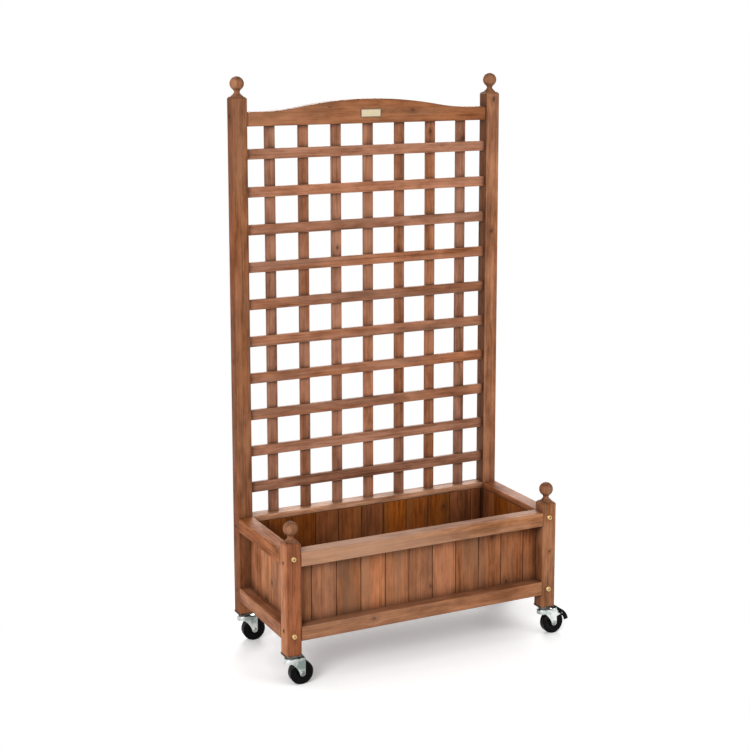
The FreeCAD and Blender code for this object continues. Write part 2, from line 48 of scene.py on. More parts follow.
# Count and pitch of each row of boards or slats. The front and rear rows have a cut board more at each end.
FULL_BOARDS, BOARD_PITCH = 9, 0.056
SIDE_BOARDS, SIDE_BOARD_PITCH = 4, 0.057
UPRIGHT_SLATS, UPRIGHT_PITCH = 7, 0.0765
FLOOR_SLATS, FLOOR_SLAT_PITCH = 9, 0.063375
LEVEL_SLATS = 10
# The frame stands this much higher than when the knots and the camera were measured.
POST_RISE = 0.003
CORNERS = ("front_left", "front_right", "rear_left", "rear_right")


def first_joint(middle, count, pitch):
    """Where a row of pieces begins that is centred on a place."""
    return middle - count / 2 * pitch


FIRST_BOARD_JOINT = first_joint(MIDDLE_X, FULL_BOARDS, BOARD_PITCH)


# ---------------------------------------------------------------- shader node helpers
def fill(tree, node, inputs):
    """Give a node its inputs, each a number, a colour, a vector or another node's socket."""
    for key, value in inputs.items():
        if isinstance(value, bpy.types.NodeSocket):
            tree.links.new(value, node.inputs[key])
        else:
            node.inputs[key].default_value = value


def place(tree, kind, inputs=None, **settings):
    """Add a shader node with its settings and inputs."""
    made = tree.nodes.new("ShaderNode" + kind)
    for key, value in settings.items():
        setattr(made, key, value)
    fill(tree, made, inputs or {})
    return made


def math_node(tree, operation, a, b=0.0, c=0.0):
    return place(tree, "Math", {0: a, 1: b, 2: c}, operation=operation).outputs[0]


def vector_node(tree, operation, a, b=(0, 0, 0)):
    made = place(tree, "VectorMath", {0: a, 1: b}, operation=operation)
    return made.outputs["Value" if operation in ("LENGTH", "DISTANCE", "DOT_PRODUCT") else "Vector"]


def spread(tree, value, low, high, to_low=0.0, to_high=1.0):
    """Map a range onto another one, smoothly and clamped."""
    inputs = {"Value": value, "From Min": low, "From Max": high, "To Min": to_low, "To Max": to_high}
    return place(tree, "MapRange", inputs, interpolation_type="SMOOTHSTEP").outputs[0]


def blend_colours(tree, share, a, b, mode="MIX"):
    """Blend two colours. Sockets 0, 6 and 7 of the node are the share and the two colours."""
    return place(tree, "Mix", {0: share, 6: a, 7: b}, data_type="RGBA", blend_type=mode).outputs[2]


def tinted(tree, colour, mask, strength, tint):
    """Lay a tint over a colour where a mask says so."""
    return blend_colours(tree, math_node(tree, "MULTIPLY", mask, strength), colour, tint + (1.0,))


def bumped(tree, height, strength, distance=0.0002, normal=None):
    """Normal of a surface that a height makes uneven."""
    inputs = {"Strength": strength, "Distance": distance, "Height": height}
    if normal is not None:
        inputs["Normal"] = normal
    return place(tree, "Bump", inputs).outputs[0]


def seen_directly(tree):
    """1 for the rays that the camera sees, straight or mirrored, and 0 for those that only light things."""
    rays = place(tree, "LightPath").outputs
    shown = math_node(tree, "MAXIMUM", rays["Is Camera Ray"], rays["Is Glossy Ray"])
    return math_node(tree, "MAXIMUM", shown, rays["Is Transmission Ray"])


def noise(tree, vector, scale, detail=2.0, roughness=0.5):
    inputs = {"Vector": vector, "Scale": scale, "Detail": detail, "Roughness": roughness}
    return place(tree, "TexNoise", inputs).outputs["Fac"]


def shader_group(name, inputs, outputs):
    """Empty node group with named sockets; returns the tree, its input sockets and its output node."""
    tree = bpy.data.node_groups.new(name, "ShaderNodeTree")
    for label, kind, value in inputs:
        socket = tree.interface.new_socket(name=label, in_out="INPUT", socket_type="NodeSocket" + kind)
        if value is not None:
            socket.default_value = value
    for label, kind in outputs:
        tree.interface.new_socket(name=label, in_out="OUTPUT", socket_type="NodeSocket" + kind)
    return tree, tree.nodes.new("NodeGroupInput").outputs, tree.nodes.new("NodeGroupOutput").inputs


def use_group(tree, group, inputs):
    return place(tree, "Group", inputs, node_tree=group).outputs


def grey(level):
    return (level, level, level, 1.0)


# ---------------------------------------------------------------- shared effects
def make_piece_number():
    """A random value for each board or slat of a row, from where it lies along the row, and its dark joints."""
    tree, given, result = shader_group(
        "piece_number",
        [
            ("Position", "Float", 0.0),
            ("First Joint", "Float", 0.0),
            ("Pitch", "Float", 0.05),
            ("Row", "Float", 0.0),
            ("Joint Width", "Float", 0.001),
        ],
        [("Seed", "Float"), ("Joint", "Float")],
    )
    offset = math_node(tree, "SUBTRACT", given["Position"], given["First Joint"])
    along = math_node(tree, "DIVIDE", offset, given["Pitch"])
    number = math_node(tree, "FLOOR", along)
    key = math_node(tree, "ADD", number, given["Row"])
    drawn = place(tree, "TexWhiteNoise", {"W": key}, noise_dimensions="1D").outputs["Value"]
    tree.links.new(drawn, result["Seed"])
    share = math_node(tree, "SUBTRACT", along, number)
    nearest = math_node(tree, "MINIMUM", share, math_node(tree, "SUBTRACT", 1.0, share))
    from_joint = math_node(tree, "MULTIPLY", nearest, given["Pitch"])
    tree.links.new(spread(tree, from_joint, 0.0, given["Joint Width"], 1.0, 0.0), result["Joint"])
    return tree


def make_knot():
    """Bends the grain round a knot and adds its dark core. Where a piece has several knots, they are chained."""
    tree, given, result = shader_group(
        "knot",
        [("Place", "Vector", None), ("Mask", "Float", 0.0), ("Centre", "Vector", None), ("Radius", "Float", 0.005)],
        [("Place", "Vector"), ("Mask", "Float")],
    )
    away = vector_node(tree, "SUBTRACT", given["Place"], given["Centre"])
    # A knot is drawn out along the grain, which runs along Z, and its rim is uneven.
    squeezed = vector_node(tree, "MULTIPLY", away, (1.0, 1.0, 0.7))
    distance = math_node(tree, "DIVIDE", vector_node(tree, "LENGTH", squeezed), given["Radius"])
    rim = noise(tree, given["Place"], 420.0)
    distance = math_node(tree, "MULTIPLY_ADD", math_node(tree, "SUBTRACT", rim, 0.5), 1.6, distance)
    near = spread(tree, distance, 0.0, 4.5, 1.0, 0.0)
    aside = vector_node(tree, "MULTIPLY", away, (0.8, 0.8, 0.35))
    pull = place(tree, "VectorMath", {0: aside, "Scale": near}, operation="SCALE").outputs["Vector"]
    tree.links.new(vector_node(tree, "SUBTRACT", given["Place"], pull), result["Place"])
    core = spread(tree, distance, 0.35, 1.25, 1.0, 0.0)
    halo = spread(tree, distance, 1.0, 2.6, 0.35, 0.0)
    darkest = math_node(tree, "MAXIMUM", core, halo)
    tree.links.new(math_node(tree, "MAXIMUM", darkest, given["Mask"]), result["Mask"])
    return tree


# How far a piece's seed shifts its grain along each axis, so that no two pieces are cut from the same place.
SEED_SHIFTS = {"X": 1.7, "Y": 2.3, "Z": 9.1}
KNOT_CORE = (0.045, 0.016, 0.007)


def make_timber():
    """Stained softwood whose grain runs along Z of the place it is given."""
    tree, given, result = shader_group(
        "timber",
        [
            ("Place", "Vector", None),
            ("Seed", "Float", 0.0),
            ("Pale", "Color", grey(0.5)),
            ("Warm", "Color", grey(0.3)),
            ("Dark", "Color", grey(0.1)),
            ("Ashen", "Color", grey(0.2)),
            ("Tone Spread", "Float", 0.3),
            ("Streaks", "Float", 0.5),
            ("Weathering", "Float", 0.2),
            ("Knots", "Float", 0.0),
        ],
        [("Color", "Color"), ("Roughness", "Float"), ("Height", "Float")],
    )
    shifts = {axis: math_node(tree, "MULTIPLY", given["Seed"], factor) for axis, factor in SEED_SHIFTS.items()}
    spot = vector_node(tree, "ADD", given["Place"], place(tree, "CombineXYZ", shifts).outputs[0])

    def stretched(across, lengthwise):
        return vector_node(tree, "MULTIPLY", spot, (across, across, lengthwise))

    # Growth rings: the distance from a pith line that wanders a little along the piece, banded unevenly.
    wander = noise(tree, stretched(14.0, 5.0), 1.0)
    radius = math_node(tree, "MULTIPLY_ADD", wander, 0.035, vector_node(tree, "LENGTH", stretched(1.0, 0.03)))
    ring_inputs = {"W": radius, "Scale": 260.0, "Detail": 2.0}
    rings = place(tree, "TexNoise", ring_inputs, noise_dimensions="1D").outputs["Fac"]
    # Streaks, threads and pores, drawn out along the grain.
    bands = noise(tree, stretched(95.0, 2.4), 1.0, 2.0, 0.6)
    threads = noise(tree, stretched(310.0, 6.5), 1.0, 2.0, 0.6)
    pores = noise(tree, stretched(900.0, 25.0), 1.0, 1.0, 0.6)
    patches = noise(tree, stretched(38.0, 13.0), 1.0, 4.0, 0.62)
    grain = math_node(tree, "MULTIPLY_ADD", rings, 0.22, math_node(tree, "MULTIPLY", bands, 0.28))
    grain = math_node(tree, "MULTIPLY_ADD", threads, 0.46, grain)
    grain = math_node(tree, "MULTIPLY_ADD", pores, 0.24, grain)
    grain = math_node(tree, "MULTIPLY_ADD", patches, 0.52, grain)
    level = spread(tree, grain, 0.73, 1.0)
    base = blend_colours(tree, level, given["Warm"], given["Pale"])
    deep = spread(tree, grain, 0.84, 0.6)
    base = blend_colours(tree, math_node(tree, "MULTIPLY", deep, given["Streaks"]), base, given["Dark"])
    # Thin dark lines of late wood.
    lines = noise(tree, stretched(230.0, 1.8), 1.0)
    line_mask = math_node(tree, "MULTIPLY", spread(tree, lines, 0.62, 0.72), given["Streaks"])
    base = blend_colours(tree, line_mask, base, given["Dark"])
    # Weather greys the surface in long patches, more on some pieces than on others.
    worn = noise(tree, stretched(30.0, 2.6), 1.0, 3.0)
    other_key = math_node(tree, "MULTIPLY", given["Seed"], 57.3)
    other = place(tree, "TexWhiteNoise", {"W": other_key}, noise_dimensions="1D").outputs["Value"]
    weather = math_node(tree, "MULTIPLY", spread(tree, worn, 0.42, 0.66), given["Weathering"])
    weather = math_node(tree, "MULTIPLY", weather, math_node(tree, "MULTIPLY_ADD", other, 1.2, 0.3))
    base = blend_colours(tree, weather, base, given["Ashen"])
    # Each piece has its own tone, which the patches vary.
    tone = math_node(tree, "MULTIPLY", math_node(tree, "SUBTRACT", given["Seed"], 0.5), given["Tone Spread"])
    patchy = math_node(tree, "MULTIPLY_ADD", math_node(tree, "SUBTRACT", patches, 0.5), 0.9, 1.0)
    value = math_node(tree, "ADD", patchy, tone)
    richness = math_node(tree, "MULTIPLY_ADD", math_node(tree, "SUBTRACT", other, 0.5), 0.12, 1.0)
    hue_inputs = {"Hue": 0.5, "Saturation": richness, "Value": value, "Fac": 1.0, "Color": base}
    base = place(tree, "HueSaturation", hue_inputs).outputs[0]
    tree.links.new(tinted(tree, base, given["Knots"], 0.82, KNOT_CORE), result["Color"])
    tree.links.new(spread(tree, grain, 0.5, 1.0, 0.72, 0.52), result["Roughness"])
    height = math_node(tree, "MULTIPLY_ADD", threads, 0.7, math_node(tree, "MULTIPLY", pores, 0.5))
    tree.links.new(height, result["Height"])
    return tree


def make_worn_and_highlit_edges():
    """Mask and softened normal of the outer edges, from the difference between rounded and true normals. The mask
    lightens edges for wear and as a painted highlight.
    """
    tree, given, result = shader_group(
        "worn_and_highlit_edges",
        [("Place", "Vector", None), ("Width", "Float", 0.0015), ("Amount", "Float", 1.0)],
        [("Mask", "Float"), ("Normal", "Vector")],
    )
    rounded = place(tree, "Bevel", {"Radius": given["Width"]}, samples=4).outputs[0]
    true = place(tree, "NewGeometry").outputs["Normal"]
    turned = math_node(tree, "SUBTRACT", 1.0, vector_node(tree, "DOT_PRODUCT", rounded, true))
    broken = spread(tree, noise(tree, given["Place"], 60.0, 3.0), 0.35, 0.6, 0.15, 1.0)
    mask = math_node(tree, "MULTIPLY", spread(tree, turned, 0.02, 0.25), broken)
    tree.links.new(math_node(tree, "MULTIPLY", mask, given["Amount"]), result["Mask"])
    tree.links.new(rounded, result["Normal"])
    return tree


def make_painted_shade():
    """Mask of corners and recesses from ambient occlusion, where shade falls; it drives painted shade."""
    tree, given, result = shader_group("painted_shade", [("Reach", "Float", 0.02)], [("Mask", "Float")])
    open_share = place(tree, "AmbientOcclusion", {"Distance": given["Reach"]}, samples=6).outputs["AO"]
    tree.links.new(spread(tree, open_share, 0.25, 0.95, 1.0, 0.0), result["Mask"])
    return tree


def make_end_grain():
    """Mask of the faces that cut across the grain, which take more stain; on the turned balls their darker poles
    also paint the shade of the rims.
    """
    tree, given, result = shader_group("end_grain", [("Run", "Vector", None)], [("Mask", "Float")])
    true = place(tree, "NewGeometry").outputs["Normal"]
    facing = math_node(tree, "ABSOLUTE", vector_node(tree, "DOT_PRODUCT", true, given["Run"]))
    tree.links.new(spread(tree, facing, 0.35, 1.0), result["Mask"])
    return tree


def make_facing():
    """Mask of the faces that point one way, such as the side of a post made lighter or darker as painted light and
    shade.
    """
    tree, given, result = shader_group("facing", [("Direction", "Vector", None)], [("Mask", "Float")])
    true = place(tree, "NewGeometry").outputs["Normal"]
    aligned = vector_node(tree, "DOT_PRODUCT", true, given["Direction"])
    tree.links.new(spread(tree, aligned, 0.5, 0.9), result["Mask"])
    return tree


piece_number = make_piece_number()
knot = make_knot()
timber = make_timber()
worn_and_highlit_edges = make_worn_and_highlit_edges()
painted_shade = make_painted_shade()
end_grain = make_end_grain()
facing = make_facing()


# ---------------------------------------------------------------- materials
def new_material(name):
    """Empty material; returns it with its node tree, its shader and the object's coordinates."""
    material = bpy.data.materials.new(name)
    material.use_nodes = True
    tree = material.node_tree
    return material, tree, tree.nodes["Principled BSDF"], place(tree, "TexCoord").outputs["Object"]


# The stain's colours, before each piece's own strength.
PALE = (0.40, 0.165, 0.080)
WARM = (0.265, 0.092, 0.036)
DARK = (0.075, 0.021, 0.007)
ASHEN = (0.25, 0.135, 0.085)
# Colours of painted sheen, of rubbed edges with painted highlight, of cut ends, of painted shade and of dark joints.
SHEEN_COLOUR = (0.52, 0.30, 0.19, 1.0)
RUBBED_EDGE_AND_HIGHLIGHT = (0.46, 0.23, 0.13, 1.0)
CUT_END = (0.07, 0.022, 0.009)
PAINTED_CORNER_SHADE = (0.03, 0.012, 0.006)
PAINTED_DEEP_SHADE = (0.045, 0.014, 0.005)
JOINT_SHADE = (0.03, 0.01, 0.005)
RUN_DIRECTIONS = {"X": (1.0, 0.0, 0.0), "Y": (0.0, 1.0, 0.0), "Z": (0.0, 0.0, 1.0)}
LEFTWARD = (-1.0, 0.0, 0.0)
# The turn that lays each run of grain on Z.
GRAIN_TURNS = {"X": (0.0, -math.pi / 2, 0.0), "Y": (math.pi / 2, 0.0, 0.0), "Z": (0.0, 0.0, 0.0)}


def on_grain(point, run):
    """A place of the object as the grain's mapping turns it."""
    turn = Matrix.Identity(3)
    for angle, axis in zip(GRAIN_TURNS[run], "XYZ"):
        turn = Matrix.Rotation(angle, 3, axis) @ turn
    return tuple(turn @ Vector(point))


def stained(colour, stain):
    return tuple(part * strength for part, strength in zip(colour, stain)) + (1.0,)


def wood(name, run, seed=0.5, row=None, stain=(1.0, 1.0, 1.0), streaks=0.55, weathering=0.35, tone_spread=0.3,
         knots=(), joint_width=0.0, deep_shade=0.25, painted_sheen=None, left_face_light=None):
    """Stained wood. row is (axis, first joint, pitch, row number) where a node holds several pieces.

    A knot's place is measured from the planter's middle. The sheen, given as (axis, palest place, place where it
    ends, share), is a painted sheen that pales the wood towards one end.
    The left faces' stain is painted light and shade, which lightens or darkens the left faces against the others.
    """
    material, tree, shader, coordinates = new_material(name)
    if row:
        axis, first, pitch, number = row
        position = place(tree, "SeparateXYZ", {0: coordinates}).outputs[axis]
        found = use_group(tree, piece_number, {
            "Position": position, "First Joint": first, "Pitch": pitch, "Row": number,
            "Joint Width": max(joint_width, 0.0001),
        })
        seed = found["Seed"]
    spot = place(tree, "Mapping", {"Vector": coordinates, "Rotation": GRAIN_TURNS[run]}).outputs[0]
    mask = 0.0
    for (across, deep, high), radius in knots:
        centre = on_grain((MIDDLE_X + across, deep, high + POST_RISE), run)
        bent = use_group(tree, knot, {"Place": spot, "Mask": mask, "Centre": centre, "Radius": radius})
        spot, mask = bent["Place"], bent["Mask"]
    made = use_group(tree, timber, {
        "Place": spot, "Seed": seed, "Knots": mask, "Pale": stained(PALE, stain), "Warm": stained(WARM, stain),
        "Dark": stained(DARK, stain), "Ashen": stained(ASHEN, stain), "Streaks": streaks, "Weathering": weathering,
        "Tone Spread": tone_spread,
    })
    colour = made["Color"]
    # Painted sheen: the wood grows paler towards one end along an axis.
    if painted_sheen:
        axis, palest, end, share = painted_sheen
        along = place(tree, "SeparateXYZ", {0: coordinates}).outputs[axis]
        ragged = math_node(tree, "MULTIPLY_ADD", made["Height"], 0.12, along)
        colour = blend_colours(tree, spread(tree, ragged, palest, end, share, 0.0), colour, SHEEN_COLOUR)
    # Painted light and shade: the left faces are lightened or darkened as a whole.
    if left_face_light:
        left = use_group(tree, facing, {"Direction": LEFTWARD})["Mask"]
        colour = blend_colours(tree, left, colour, left_face_light + (1.0,), "MULTIPLY")
    # Lighter edges: partly rubbed wear, partly a painted highlight where the rounded edges catch the light.
    edge = use_group(tree, worn_and_highlit_edges, {"Place": coordinates, "Width": 0.0016, "Amount": 0.35})
    colour = blend_colours(tree, edge["Mask"], colour, RUBBED_EDGE_AND_HIGHLIGHT)
    # Darker cut ends: the end grain's deeper stain, and on the turned balls also painted shade at top and bottom.
    cut_end = use_group(tree, end_grain, {"Run": RUN_DIRECTIONS[run]})["Mask"]
    colour = tinted(tree, colour, cut_end, 0.45, CUT_END)
    # Painted shade: corners and recesses within a short reach are darkened.
    colour = tinted(tree, colour, use_group(tree, painted_shade, {"Reach": 0.028})["Mask"], 0.7, PAINTED_CORNER_SHADE)
    # Painted shade over a wider reach, which darkens the inside of the box and the pieces deep in it.
    colour = tinted(tree, colour, use_group(tree, painted_shade, {"Reach": 0.17})["Mask"], deep_shade, PAINTED_DEEP_SHADE)
    if row and joint_width:
        colour = tinted(tree, colour, found["Joint"], 0.8, JOINT_SHADE)
    fill(tree, shader, {
        "Base Color": colour, "Roughness": made["Roughness"], "Specular IOR Level": 0.12,
        "Normal": bumped(tree, made["Height"], 0.35, 0.0006, normal=edge["Normal"]),
    })
    return material


def zinc(name, low, high, rough):
    """Zinc-plated sheet: faint spangle, brighter edges that are rubbed wear and a painted highlight, and painted
    shade in its corners.
    """
    material, tree, shader, coordinates = new_material(name)
    spangle = place(tree, "TexVoronoi", {"Vector": coordinates, "Scale": 260.0}).outputs["Color"]
    tint = place(tree, "SeparateColor", {0: spangle}).outputs[0]
    cloud = noise(tree, coordinates, 38.0)
    level = math_node(tree, "MULTIPLY_ADD", tint, 0.1, math_node(tree, "MULTIPLY", cloud, 0.9))
    level = spread(tree, level, 0.28, 0.68)
    colour = blend_colours(tree, level, low + (1.0,), high + (1.0,))
    edge = use_group(tree, worn_and_highlit_edges, {"Place": coordinates, "Width": 0.0008, "Amount": 0.5})
    colour = blend_colours(tree, edge["Mask"], colour, (0.85, 0.87, 0.85, 1.0))
    # Painted shade in the corners.
    corner = use_group(tree, painted_shade, {"Reach": 0.006})["Mask"]
    fill(tree, shader, {
        "Base Color": tinted(tree, colour, corner, 0.8, (0.05, 0.045, 0.035)), "Metallic": 1.0,
        "Normal": bumped(tree, cloud, 0.12, normal=edge["Normal"]),
        "Roughness": spread(tree, cloud, 0.3, 0.7, rough, rough + 0.15),
    })
    return material


def moulded(name, level, roughness, gloss):
    """Black moulded plastic or hard rubber with faint scuffs."""
    material, tree, shader, coordinates = new_material(name)
    cloud = noise(tree, coordinates, 70.0, 4.0, 0.65)
    fine = noise(tree, coordinates, 900.0)
    scuffs = spread(tree, cloud, 0.55, 0.85, 0.0, 0.6)
    edge = use_group(tree, worn_and_highlit_edges, {"Place": coordinates, "Width": 0.001, "Amount": 0.5})
    fill(tree, shader, {
        "Base Color": blend_colours(tree, scuffs, grey(level), grey(level * 4.0)), "Specular IOR Level": gloss,
        "Normal": bumped(tree, fine, 0.1, normal=edge["Normal"]),
        "Roughness": spread(tree, cloud, 0.3, 0.75, roughness, roughness + 0.2),
    })
    return material


def brass(name):
    """Brass-plated screw heads, with painted shade in the socket and rims lightened by wear and a painted highlight.
    """
    material, tree, shader, coordinates = new_material(name)
    cloud = noise(tree, coordinates, 160.0, 3.0)
    colour = blend_colours(tree, cloud, (0.52, 0.32, 0.11, 1.0), (0.85, 0.62, 0.3, 1.0))
    # Painted shade in the socket.
    corner = use_group(tree, painted_shade, {"Reach": 0.004})["Mask"]
    colour = tinted(tree, colour, corner, 0.85, (0.05, 0.025, 0.01))
    edge = use_group(tree, worn_and_highlit_edges, {"Place": coordinates, "Width": 0.0006, "Amount": 0.4})
    fill(tree, shader, {
        "Base Color": blend_colours(tree, edge["Mask"], colour, (0.95, 0.78, 0.45, 1.0)), "Metallic": 1.0,
        "Normal": bumped(tree, cloud, 0.1, normal=edge["Normal"]),
        "Roughness": spread(tree, cloud, 0.3, 0.7, 0.25, 0.42),
    })
    return material


def dark_steel(name):
    """Countersunk screws, near black: painted shade of the holes they sit in."""
    material, tree, shader, coordinates = new_material(name)
    cloud = noise(tree, coordinates, 200.0, 3.0)
    fill(tree, shader, {
        "Base Color": blend_colours(tree, cloud, (0.02, 0.012, 0.009, 1.0), (0.08, 0.05, 0.035, 1.0)),
        "Metallic": 0.6, "Normal": bumped(tree, cloud, 0.15),
        "Roughness": spread(tree, cloud, 0.2, 0.8, 0.4, 0.6),
    })
    return material


def enamel(name):
    """Cream enamel of the bare name plate, darker brown along its rim."""
    material, tree, shader, coordinates = new_material(name)
    cloud = noise(tree, coordinates, 120.0, 3.0)
    colour = blend_colours(tree, cloud, (0.56, 0.44, 0.27, 1.0), (0.72, 0.62, 0.42, 1.0))
    low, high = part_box("name_plate")
    from_middle = vector_node(tree, "ABSOLUTE", vector_node(tree, "SUBTRACT", coordinates, tuple((low + high) / 2)))
    past_edge = vector_node(tree, "SUBTRACT", from_middle, tuple((high - low) / 2))
    past = place(tree, "SeparateXYZ", {0: past_edge}).outputs
    rim = spread(tree, math_node(tree, "MAXIMUM", past["X"], past["Z"]), -0.0022, -0.0014, 0.0, 0.85)
    fill(tree, shader, {
        "Base Color": blend_colours(tree, rim, colour, (0.1, 0.05, 0.022, 1.0)),
        "Normal": bumped(tree, cloud, 0.1),
        "Roughness": spread(tree, cloud, 0.3, 0.7, 0.35, 0.5),
    })
    return material


def dress(node, material):
    """Give a CAD node its material."""
    slots = NODES[node].data.materials
    slots.clear()
    slots.append(material)


# ---------------------------------------------------------------- how deep each piece took the stain, with painted light and shade
# Each strength lightens or darkens a whole piece, for its own tone and as painted light and shade. The rear and
# right boards, whose inner faces show, are darkened as painted shade of the box's inside.
STAINS = {
    "post_rear_left": (0.82, 0.84, 0.86),
    "post_rear_right": (1.06, 1.08, 1.05),
    "post_front_left": (0.83, 0.63, 0.44),
    "post_front_right": (0.92, 0.98, 0.98),
    "turned_finials": (0.85, 0.92, 0.95),
    "front_top_rail": (1.09, 1.25, 1.38),
    "front_bottom_rail": (0.96, 0.94, 0.8),
    "rear_top_rail": (1.5, 1.9, 2.3),
    "rear_bottom_rail": (1.0, 1.0, 1.0),
    "left_top_rail": (1.04, 0.83, 0.46),
    "left_bottom_rail": (1.15, 1.1, 0.95),
    "right_top_rail": (1.05, 1.05, 1.05),
    "right_bottom_rail": (1.0, 1.0, 1.0),
    "arched_rail": (0.85, 0.84, 0.82),
    "slats": (1.0, 1.05, 1.18),
    "front_boards": (0.93, 0.84, 0.71),
    "rear_boards": (0.7, 0.51, 0.24),
    "left_boards": (1.33, 1.34, 1.33),
    "right_boards": (0.8, 0.58, 0.27),
    "floor_slats": (0.7, 0.65, 0.6),
    "board_tongues": (0.4, 0.33, 0.28),
}

# ---------------------------------------------------------------- dressing the wood
POST_KNOTS = {
    "rear_left": (((-0.318, 0.13, 0.62), 0.004),),
    "rear_right": (((0.3037, 0.114, 1.162), 0.006), ((0.3012, 0.114, 0.865), 0.004)),
    "front_left": (),
    "front_right": (((0.303, -0.147, 0.19), 0.003),),
}
# Painted light and shade of each post's left faces, against its other faces.
PAINTED_LEFT_FACE_LIGHT = {"rear_left": (0.85, 0.73, 0.62), "rear_right": (0.41, 0.36, 0.3), "front_left": (1.75, 2.1, 2.3)}
# The number of each row picks its pieces' tones. The front's puts pale and dark boards where the photo has them.
# The rear's number puts darker boards at the left, as painted shade of the left side.
ROW_NUMBERS = {"front_boards": 2978.0, "rear_boards": 441.0, "left_boards": 23.0, "right_boards": 31.0,
               "upright_slats": 40.0, "floor_slats": 60.0}
# Step between the seeds of the level slats, which spreads their tones.
SEED_STEP = 0.381
POST_WOODS = {}
for number, (corner, knots) in enumerate(POST_KNOTS.items()):
    made = wood("post wood " + corner, "Z", 0.35 + 0.1 * number, stain=STAINS["post_" + corner], knots=knots,
                tone_spread=0.2, weathering=0.25, left_face_light=PAINTED_LEFT_FACE_LIGHT.get(corner))
    POST_WOODS[corner] = made
    dress("post_" + corner, made)
RAIL_KNOTS = {
    "front_bottom_rail": (((-0.1227, -0.147, 0.1118), 0.005),),
    "left_top_rail": (((-0.3185, -0.0996, 0.272), 0.004),),
}
# Where the rails carry a painted sheen.
RAIL_PAINTED_SHEEN = {
    "front_top_rail": ("X", MIDDLE_X - 0.08, MIDDLE_X + 0.26, 0.57),
    "front_bottom_rail": ("X", MIDDLE_X - 0.05, MIDDLE_X + 0.28, 0.17),
}
for side, run in (("front", "X"), ("rear", "X"), ("left", "Y"), ("right", "Y")):
    for level, seed in (("bottom", 0.4), ("top", 0.55)):
        name = f"{side}_{level}_rail"
        painted_sheen = RAIL_PAINTED_SHEEN.get(name)
        dress(name, wood("rail wood " + name, run, seed + 0.03 * len(side), stain=STAINS[name], painted_sheen=painted_sheen,
                         knots=RAIL_KNOTS.get(name, ()), tone_spread=0.2, streaks=0.45))
dress("arched_rail", wood("arched rail wood", "X", 0.5, stain=STAINS["arched_rail"], streaks=0.4, tone_spread=0.2,
                          painted_sheen=("X", MIDDLE_X - 0.25, MIDDLE_X + 0.3, 0.16),
                          knots=(((0.1022, 0.118, 1.1419), 0.003), ((-0.0964, 0.118, 1.1526), 0.003))))
for number in range(1, LEVEL_SLATS + 1):
    seed = (number * SEED_STEP + 0.2) % 1.0
    knots = (((0.2766, 0.123, 0.3423), 0.004),) if number == 9 else ()
    dress(f"level_slat_{number:02d}", wood(f"slat wood {number}", "X", seed, stain=STAINS["slats"], weathering=0.45,
                                           tone_spread=0.35, knots=knots))
row = ("X", first_joint(MIDDLE_X, UPRIGHT_SLATS, UPRIGHT_PITCH), UPRIGHT_PITCH, ROW_NUMBERS["upright_slats"])
knots = (((-0.0749, 0.1305, 0.848), 0.004), ((0.0741, 0.1305, 0.836), 0.004), ((0.1527, 0.1305, 1.094), 0.004),
         ((0.2333, 0.1305, 1.076), 0.004))
dress("upright_slats", wood("upright slat wood", "Z", row=row, stain=STAINS["slats"], tone_spread=0.35,
                            weathering=0.35, knots=knots))
row = ("X", FIRST_BOARD_JOINT, BOARD_PITCH, ROW_NUMBERS["front_boards"])
knots = (((0.2098, -0.12, 0.1278), 0.005), ((0.1741, -0.12, 0.2349), 0.004), ((0.0234, -0.12, 0.1489), 0.004))
dress("front_boards", wood("front board wood", "Z", row=row, joint_width=0.0011, stain=STAINS["front_boards"],
                           painted_sheen=("X", MIDDLE_X + 0.02, MIDDLE_X + 0.3, 0.13), tone_spread=0.75, streaks=0.55,
                           weathering=0.6, knots=knots))
row = ("X", FIRST_BOARD_JOINT, BOARD_PITCH, ROW_NUMBERS["rear_boards"])
dress("rear_boards", wood("rear board wood", "Z", row=row, joint_width=0.0008, stain=STAINS["rear_boards"],
                          tone_spread=0.5, streaks=0.6, deep_shade=0.85, weathering=0.5,
                          knots=(((0.1798, 0.11, 0.2368), 0.005),)))
SIDE_KNOTS = {"left": (((-0.2915, 0.0274, 0.1239), 0.005), ((-0.2915, -0.0044, 0.1697), 0.005)), "right": ()}
# Of the right side's boards the inner faces show, which are darker: they get more painted shade, as the inside of
# the box lies in shade.
SIDE_DEEP_SHADE = {"left": 0.25, "right": 0.7}
for side, knots in SIDE_KNOTS.items():
    name = side + "_boards"
    row = ("Y", first_joint(0.0, SIDE_BOARDS, SIDE_BOARD_PITCH), SIDE_BOARD_PITCH, ROW_NUMBERS[name])
    dress(name, wood(side + " board wood", "Z", row=row, joint_width=0.0011, tone_spread=0.45, streaks=0.65,
                     stain=STAINS[name], knots=knots, deep_shade=SIDE_DEEP_SHADE[side]))
row = ("X", first_joint(MIDDLE_X, FLOOR_SLATS, FLOOR_SLAT_PITCH), FLOOR_SLAT_PITCH, ROW_NUMBERS["floor_slats"])
dress("floor_slats", wood("floor slat wood", "Y", tone_spread=0.4, stain=STAINS["floor_slats"], deep_shade=0.7, row=row))
dress("floor_cleats", wood("cleat wood", "X", 0.6))

# ---------------------------------------------------------------- turned finials and post tops
BALL_CENTRE = 0.0322
BALL_RADIUS = 0.0150
# Radius and height of the bell and neck under the ball, from the top of the CAD post.
BELL = ((0.0120, 0.0046), (0.0131, 0.0052), (0.0131, 0.0060), (0.0121, 0.0071), (0.0101, 0.0088), (0.0081, 0.0109),
        (0.0066, 0.0130), (0.0061, 0.0147), (0.0065, 0.0167), (0.0078, 0.0192))
TURNING_STEPS = 48
BALL_STEPS = 22
# The post's end: how far each ring of it reaches past the CAD post, and its height above that post's top.
TOP_RINGS = ((0.0001, -0.0060), (0.0001, 0.0012), (-0.0004, 0.0018), (-0.0032, 0.0050))
POST_ROUND = 0.003
ROUND_STEPS = 4
